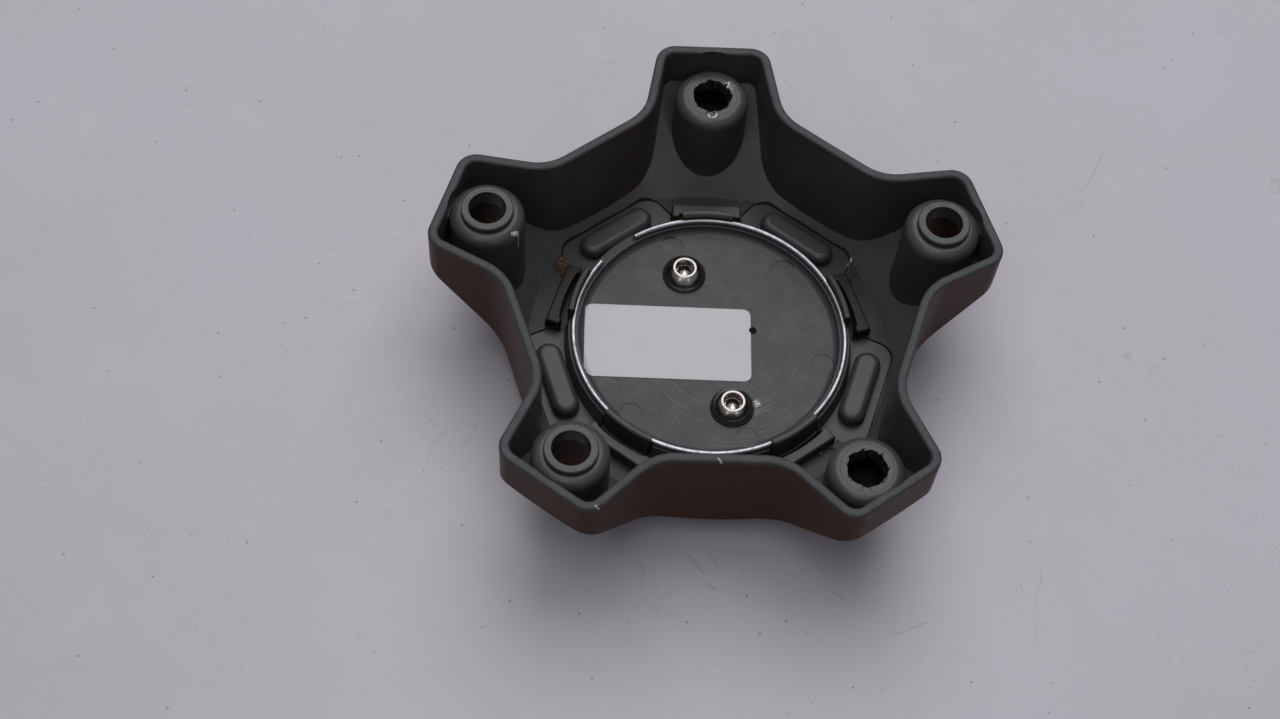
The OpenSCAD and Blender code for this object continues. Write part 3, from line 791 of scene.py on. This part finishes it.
def screw_finish(metal):
    finish = Finish("bright plated screw")
    stain = finish.noise(1.8, 4, 0.6, seed=1.0)
    fine = finish.noise(0.25, 2)
    colour = finish.blend(tuple(metal.screw_colour), SCREW_STAIN, stain.rise(0.45, 0.8) * 0.6)
    # Painted shade on the sockets' walls, and a painted highlight on their floors
    pits = []
    for x, y, top in screw_tops():
        pits.append(finish.spot(x, y, SOCKET_R, 0.1) * finish.z.below(top - 0.6, 0.3))
    pit = either(pits)
    steep = 1 - abs(finish.nz).rise(0.15, 0.4)
    colour = finish.blend(colour, SOCKET_WALL_SHADE, pit * (steep * 0.9))
    colour = finish.blend(colour, SOCKET_FLOOR_HIGHLIGHT, pit * (1 - steep) * 0.8)
    return finish.surface({
        "Base Color": colour,
        "Metallic": 1.0,
        "Roughness": 0.13 + stain * 0.16 + pit * (steep * 0.3),
        "Normal": finish.bump(fine, 0.012, 0.2),
    })


def label_finish(details):
    finish = Finish("blank paper label")
    fibre = finish.noise(0.5, 4, 0.65)
    cloud = finish.noise(12.0, 3)
    ends = abs(finish.x - LABEL_X).above(LABEL_HALF_LENGTH, 0.4)
    edge = ends.largest(abs(finish.y - LABEL_Y).above(LABEL_HALF_WIDTH, 0.4))
    # A faint curved crease near the right-hand end, bumped and painted darker along its line as
    # shade
    bend = finish.x * 0.82 + finish.y * 0.57 - 4.9
    crease = abs(bend + (finish.y + 2.0) * (finish.y + 2.0) * 0.012).rise(0.28, 0.05)
    crease = crease * finish.y.above(-3.75, 0.75) * finish.y.below(6.0, 1.0)
    colour = finish.blend(tuple(details.label_white), PAPER_CLOUD, cloud.rise(0.35, 0.8) * 0.5)
    # Darker edges of the label, and painted shade along the crease
    colour = finish.blend(colour, PAPER_EDGE_AND_CREASE_SHADE, edge * 0.3 + crease * 0.35)
    return finish.surface({
        "Base Color": colour,
        "Roughness": 0.42 + fibre * 0.1,
        "Normal": finish.bump(fibre * 0.5 - crease * 1.5, 0.02),
    })


def torn_finish():
    finish = Finish("torn black plastic")
    rough = finish.noise(1.1, 6, 0.75)
    return finish.surface({
        "Base Color": finish.blend(TORN_BLACK, TORN_GREY, rough.rise(0.6, 0.8) * 0.5),
        "Roughness": 0.45 + rough * 0.25,
        "Specular IOR Level": 0.12,
        "Normal": finish.bump(rough, 0.5),
    })


def fibre_finish():
    finish = Finish("brown fibres")
    mixed = finish.noise(0.6, 2)
    return finish.surface({
        "Base Color": finish.blend(FIBRE_DARK, FIBRE_PALE, mixed.rise(0.42, 0.65)),
        "Roughness": 0.6 + mixed * 0.2,
        "Normal": finish.bump(mixed, 0.01),
    })


def table_finish(stage):
    finish = Finish("pale table")
    cloud = finish.noise(140.0, 3)
    smudge = finish.noise(28.0, 4, 0.6, seed=3.0)
    colour = finish.blend(tuple(stage.table), TABLE_CLOUD, cloud.rise(0.3, 0.7) * 0.5)
    colour = finish.blend(colour, TABLE_SMUDGE, smudge.rise(0.5, 0.8) * 0.35)
    # Specks in two sizes, faint scratches and grime, each in patches
    specks = finish.cells(23.0, "2D").below(0.016, 0.006)
    specks = specks * finish.noise(30.0, 2, seed=8.0).rise(0.45, 0.55)
    dots = finish.cells(7.0, "2D").below(0.029, 0.011)
    dots = dots * finish.noise(26.0, 3, 0.7, seed=9.0).rise(0.5, 0.58)
    scratch = abs(finish.noise(38.0, 1, seed=14.0) - 0.5).below(0.0014, 0.0008)
    scratch = scratch * finish.noise(26.0, 3, 0.7, seed=15.0).rise(0.54, 0.6)
    grime = finish.noise(9.0, 5, 0.7, seed=16.0).rise(0.56, 0.72)
    grime = grime * finish.noise(70.0, 2, seed=17.0).rise(0.45, 0.65)
    # Dirt and strokes in front of the cap and at its left
    near = finish.spot(4.0, -84.0, 34.0, 16.0).largest(finish.spot(-80.0, -20.0, 16.0, 12.0))
    dirt = finish.cells(2.3, "2D").below(0.0575, 0.0175)
    dirt = dirt * finish.noise(9.0, 3, 0.7, seed=18.0).rise(0.5, 0.6)
    strokes = either([finish.dash(*stroke) for stroke in TABLE_STROKES])
    strokes = strokes * finish.noise(1.2, 2, seed=19.0).rise(0.3, 0.5)
    colour = finish.blend(colour, TABLE_GRIME, scratch * 0.5 + grime * 0.3)
    colour = finish.blend(colour, TABLE_SPECK, specks * 0.7 + dots * 0.7)
    colour = finish.blend(colour, TABLE_DIRT, (near * dirt).largest(strokes) * 0.55)
    return finish.surface({
        "Base Color": colour,
        "Roughness": 0.55 + smudge * 0.15,
        "Normal": finish.bump(smudge, 0.02),
    })


# ---- Geometry that repeats or follows a path ----


def wire_group():
    """A round wire along an open arc, with a slight waviness and capped ends."""
    group = Growth("sprung wire", {
        "Material": ("Material", None),
        "Radius": ("Float", 0.042),
        "Thickness": ("Float", 0.0018),
        "Start": ("Float", 2.5),
        "Sweep": ("Float", 5.9),
        "Height": ("Float", 0.018),
        "Waviness": ("Float", 0.00004),
    })
    arc = group.node("GeometryNodeCurveArc", {"mode": "RADIUS"}, {
        "Resolution": 220, "Radius": group.given("Radius"), "Start Angle": group.given("Start"),
        "Sweep Angle": group.given("Sweep"),
    })
    lift = group.node("ShaderNodeCombineXYZ", {}, {2: group.given("Height")})
    offset = group.vector("ADD", group.wobble(60.0, group.given("Waviness")), lift)
    path = group.node("GeometryNodeSetPosition", {}, {0: arc, "Offset": offset})
    return group.finish(group.tube(path, 20, group.given("Thickness")))


def socket_floor_group():
    """The drilled cone at the bottom of a hexagon socket, at each point."""
    group = Growth("socket floors", {
        "Material": ("Material", None),
        "Width": ("Float", 0.0024),
        "Depth": ("Float", 0.0009),
    })
    cone = group.node("GeometryNodeMeshCone", {"fill_type": "NGON"}, {
        "Vertices": 6, "Side Segments": 1, "Radius Top": 0.00005,
        "Radius Bottom": group.given("Width"), "Depth": group.given("Depth"),
    })
    return group.finish(group.at_points(group.given("Geometry"), cone))


def shard_group():
    """Slivers round a circle at each point, leaning in, of random size."""
    group = Growth("torn slivers", {
        "Material": ("Material", None),
        "Count": ("Int", 40),
        "Radius": ("Float", 0.0055),
        "Size": ("Float", 0.0011),
        "Seed": ("Int", 3),
    })
    seed, size = group.given("Seed"), group.given("Size")
    ring = group.node("GeometryNodeCurvePrimitiveCircle", {"mode": "RADIUS"}, {
        "Resolution": group.given("Count"), "Radius": group.given("Radius"),
    })
    dots = group.node("GeometryNodeCurveToPoints", {"mode": "EVALUATED"}, {0: ring})
    turn = group.random_vector((-1.1, -1.1, 0.0), (1.1, 1.1, 6.28), seed)
    shift = group.random_vector((-0.0006, -0.0006, -0.0016), (0.0006, 0.0006, 0.0001), seed + 1)
    scale = group.random_vector((0.35, 0.2, 0.5), (1.3, 0.7, 1.8), seed + 2)
    loose = group.node("GeometryNodeSetPosition", {}, {0: dots, "Offset": shift})
    sliver = group.node("GeometryNodeMeshCone", {"fill_type": "NGON"}, {
        "Vertices": 4, "Side Segments": 1, "Radius Top": size * 0.1,
        "Radius Bottom": size * 0.55, "Depth": size * 1.2,
    })
    torn = group.at_points(loose, sliver, Rotation=turn, Scale=scale)
    return group.finish(group.at_points(group.given("Geometry"), torn))


def fibre_group():
    """A tuft of thin curled fibres about each point."""
    group = Growth("tuft of fibres", {
        "Material": ("Material", None),
        "Count": ("Int", 60),
        "Spread": ("Vector", (0.0012, 0.0016, 0.0005)),
        "Thickness": ("Float", 0.00014),
        "Seed": ("Int", 5),
    })
    seed, spread = group.given("Seed"), group.given("Spread")
    place = group.random_vector(group.vector("SCALE", spread, -1.0), spread, seed)
    dots = group.node("GeometryNodePoints", {}, {"Count": group.given("Count"), "Position": place})
    turn = group.random_vector((-1.2, -1.2, 0.0), (1.2, 1.2, 6.28), seed + 1)
    scale = group.node("FunctionNodeRandomValue", {"data_type": "FLOAT"}, {
        2: 0.5, 3: 1.4, "Seed": seed + 2,
    }, 1)
    curl = group.node("GeometryNodeCurveArc", {"mode": "RADIUS"}, {
        "Resolution": 9, "Radius": 0.0008, "Start Angle": 0.0, "Sweep Angle": 2.6,
    })
    strand = group.tube(curl, 5, group.given("Thickness"))
    tuft = group.at_points(dots, strand, Rotation=turn, Scale=scale)
    return group.finish(group.at_points(group.given("Geometry"), tuft))


def crumb_group():
    """A rough little crumb at each point."""
    group = Growth("crumbs", {
        "Material": ("Material", None),
        "Size": ("Float", 0.0005),
        "Seed": ("Int", 7),
    })
    seed = group.given("Seed")
    ball = group.node(
        "GeometryNodeMeshIcoSphere", {}, {"Radius": group.given("Size"), "Subdivisions": 2}
    )
    dented = group.node(
        "GeometryNodeSetPosition", {}, {0: ball, "Offset": group.wobble(2500.0, 0.0007)}
    )
    turn = group.random_vector((0.0, 0.0, 0.0), (3.1, 3.1, 6.28), seed)
    scale = group.random_vector((0.5, 0.5, 0.4), (1.3, 1.3, 0.8), seed + 1)
    crumbs = group.at_points(group.given("Geometry"), dented, Rotation=turn, Scale=scale)
    return group.finish(crumbs)


# ---- Operators ----


class WHEELCAP_OT_shell(bpy.types.Operator):
    """Finish the star-shaped shell"""
    bl_idname = "wheel_cap.shell"
    bl_label = "Shell"

    def execute(self, context):
        plastic = context.scene.cap_plastic
        dress(finished_copy("star_shell", "shell"), shell_finish(plastic))
        return {"FINISHED"}


class WHEELCAP_OT_insert(bpy.types.Operator):
    """Finish the centre insert"""
    bl_idname = "wheel_cap.insert"
    bl_label = "Insert"

    def execute(self, context):
        plastic = context.scene.cap_plastic
        dress(finished_copy("centre_insert", "insert"), insert_finish(plastic))
        return {"FINISHED"}


class WHEELCAP_OT_cover(bpy.types.Operator):
    """Finish the cover on the front"""
    bl_idname = "wheel_cap.cover"
    bl_label = "Cover"

    def execute(self, context):
        plastic = context.scene.cap_plastic
        dress(finished_copy("centre_cover", "cover"), cover_finish(plastic))
        return {"FINISHED"}


class WHEELCAP_OT_wire(bpy.types.Operator):
    """Bend the retaining wire"""
    bl_idname = "wheel_cap.wire"
    bl_label = "Wire"

    def execute(self, context):
        metal = context.scene.cap_metal
        low, high = WIRE_BOX
        opening = math.radians(WIRE_OPENING)
        made = grow("wire", wire_group(), {
            "Material": wire_finish(metal),
            "Radius": high.x - metal.wire_thickness / 2,
            "Thickness": metal.wire_thickness * 0.99,
            "Start": math.radians(WIRE_OPENING_START) + opening,
            "Sweep": math.tau - opening,
            "Height": (low.z + high.z) / 2,
            "Waviness": 0.00003,
        })
        smooth(made.data, WIRE_EDGE_ANGLE)
        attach(made, "root")
        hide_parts("retaining_ring")
        return {"FINISHED"}


class WHEELCAP_OT_screws(bpy.types.Operator):
    """Finish the two screws"""
    bl_idname = "wheel_cap.screws"
    bl_label = "Screws"

    def execute(self, context):
        finish = screw_finish(context.scene.cap_metal)
        for node, name in SCREWS.items():
            dress(finished_copy(node, name), finish)
        floors = [(x * MM, y * MM, (top - SOCKET_DEPTH) * MM) for x, y, top in screw_tops()]
        made = grow("socket_floors", socket_floor_group(), {"Material": finish}, floors)
        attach(made, "root")
        return {"FINISHED"}


class WHEELCAP_OT_label(bpy.types.Operator):
    """Finish the blank label"""
    bl_idname = "wheel_cap.label"
    bl_label = "Label"

    def execute(self, context):
        details = context.scene.cap_details
        dress(finished_copy("label", "paper_label"), label_finish(details))
        return {"FINISHED"}


class WHEELCAP_OT_linings(bpy.types.Operator):
    """Tear the black linings of the two short bosses"""
    bl_idname = "wheel_cap.linings"
    bl_label = "Broken linings"

    def execute(self, context):
        details = context.scene.cap_details
        torn = torn_finish()
        for node, name in LININGS.items():
            dress(finished_copy(node, name, TORN_EDGE_ANGLE), torn)
        spots = [
            (x * MM, y * MM, (SHORT_TOP_Z - SLIVER_DROP) * MM)
            for x, y in (boss_centre(lobe) for lobe in SHORT_BOSSES)
        ]
        made = grow("torn_slivers", shard_group(), {
            "Material": torn, "Count": details.shard_count,
        }, spots)
        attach(made, "root")
        return {"FINISHED"}


class WHEELCAP_OT_debris(bpy.types.Operator):
    """Leave the fibres, crumbs and the dark dot where they lie"""
    bl_idname = "wheel_cap.debris"
    bl_label = "Fibres and crumbs"

    def execute(self, context):
        details = context.scene.cap_details
        fibres = fibre_finish()
        tuft = grow("fibre_tuft", fibre_group(), {
            "Material": fibres, "Count": details.fuzz_count,
        }, FIBRE_PLACES)
        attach(tuft, "root")
        crumbs = grow("crumbs", crumb_group(), {"Material": fibres}, CRUMB_PLACES)
        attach(crumbs, "root")
        place = Matrix.Translation((*DOT_PLACE, DISC_Z * MM))
        form = bmesh.new()
        bmesh.ops.create_uvsphere(
            form, u_segments=24, v_segments=12, radius=DOT_RADIUS,
            matrix=place @ Matrix.Diagonal((1, 1, DOT_FLATNESS, 1)),
        )
        mesh = bpy.data.meshes.new("dark_dot")
        form.to_mesh(mesh)
        form.free()
        dot = piece("dark_dot", mesh)
        smooth(mesh, DOT_EDGE_ANGLE)
        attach(dot, "root")
        dress(dot, torn_finish())
        return {"FINISHED"}


def lay_table(stage):
    mesh = bpy.data.meshes.new("table")
    corners = [(x * TABLE_HALF, y * TABLE_HALF, 0) for x, y in ((-1, -1), (1, -1), (1, 1), (-1, 1))]
    mesh.from_pydata(corners, [], [(0, 1, 2, 3)])
    table = piece("table", mesh)
    mesh.materials.append(table_finish(stage))


def hang_lamp(scene, name, place, width, power):
    """A square lamp that points at the cap."""
    lamp = bpy.data.lights.new(name, "AREA")
    lamp.shape = "SQUARE"
    lamp.size = width
    lamp.energy = power
    holder = bpy.data.objects.new(name, lamp)
    holder.location = place
    aim = Vector(LAMP_TARGET) - Vector(place)
    holder.rotation_euler = aim.to_track_quat("-Z", "Y").to_euler()
    scene.collection.objects.link(holder)


def light_room(scene):
    """A plain room: a weak even light, brighter where the camera or a gloss looks at it."""
    world = bpy.data.worlds.new("studio")
    world.use_nodes = True
    world.node_tree.nodes.clear()
    room = Tree(world.node_tree)
    plain = room.node("ShaderNodeBackground", {}, {"Color": ROOM_LIGHT, "Strength": ROOM_STRENGTH})
    seen = room.node("ShaderNodeBackground", {}, {"Color": ROOM_SEEN, "Strength": 1.0})
    camera_ray = room.node("ShaderNodeLightPath", out="Is Camera Ray")
    mirrored = room.node("ShaderNodeLightPath", out="Is Glossy Ray") * ROOM_MIRRORED
    share = camera_ray.largest(mirrored)
    mixed = room.node("ShaderNodeMixShader", {}, {0: share, 1: plain, 2: seen})
    output = world.node_tree.nodes.new("ShaderNodeOutputWorld")
    world.node_tree.links.new(mixed.socket, output.inputs[0])
    scene.world = world


def place_camera(scene, lens):
    """The camera of the photograph, solved from the rim's five-fold symmetry."""
    view = bpy.data.cameras.new("photo_camera")
    view.sensor_width = 36.0
    view.lens = lens
    eye = bpy.data.objects.new("photo_camera", view)
    placed = Matrix.Translation(CAMERA_PLACE)
    for degrees, axis in CAMERA_TURNS:
        placed = placed @ Matrix.Rotation(math.radians(degrees), 4, axis)
    eye.matrix_world = placed
    scene.collection.objects.link(eye)
    scene.camera = eye


class WHEELCAP_OT_stage(bpy.types.Operator):
    """Set the table, the light and the camera"""
    bl_idname = "wheel_cap.stage"
    bl_label = "Stage"

    def execute(self, context):
        scene = context.scene
        lay_table(scene.cap_stage)
        for lamp in LAMPS:
            hang_lamp(scene, *lamp)
        light_room(scene)
        place_camera(scene, scene.cap_stage.lens)
        scene.view_settings.view_transform = "Standard"
        return {"FINISHED"}


STEPS = (
    WHEELCAP_OT_shell, WHEELCAP_OT_insert, WHEELCAP_OT_cover, WHEELCAP_OT_wire, WHEELCAP_OT_screws,
    WHEELCAP_OT_label, WHEELCAP_OT_linings, WHEELCAP_OT_debris, WHEELCAP_OT_stage,
)
SETTINGS = {
    "cap_plastic": CapPlasticSettings, "cap_metal": CapMetalSettings,
    "cap_details": CapDetailSettings, "cap_stage": CapStageSettings,
}


class WHEELCAP_PT_panel(bpy.types.Panel):
    """Lists the steps and their settings"""
    bl_idname = "WHEELCAP_PT_panel"
    bl_label = "Centre Cap"
    bl_space_type = "VIEW_3D"
    bl_region_type = "UI"
    bl_category = "Centre Cap"

    def draw(self, context):
        for step in STEPS:
            self.layout.operator(step.bl_idname)
        for name, settings in SETTINGS.items():
            box = self.layout.box()
            for label in settings.__annotations__:
                box.prop(getattr(context.scene, name), label)


def register():
    for settings in SETTINGS.values():
        bpy.utils.register_class(settings)
    for name, settings in SETTINGS.items():
        setattr(bpy.types.Scene, name, bpy.props.PointerProperty(type=settings))
    for step in STEPS:
        bpy.utils.register_class(step)
    bpy.utils.register_class(WHEELCAP_PT_panel)


def unregister():
    bpy.utils.unregister_class(WHEELCAP_PT_panel)
    for step in reversed(STEPS):
        bpy.utils.unregister_class(step)
    for name, settings in SETTINGS.items():
        delattr(bpy.types.Scene, name)
        bpy.utils.unregister_class(settings)


def main():
    register()
    ops = bpy.ops.wheel_cap
    ops.shell()
    ops.insert()
    ops.cover()
    ops.wire()
    ops.screws()
    ops.label()
    ops.linings()
    ops.debris()
    ops.stage()


if __name__ == "__main__":
    main()
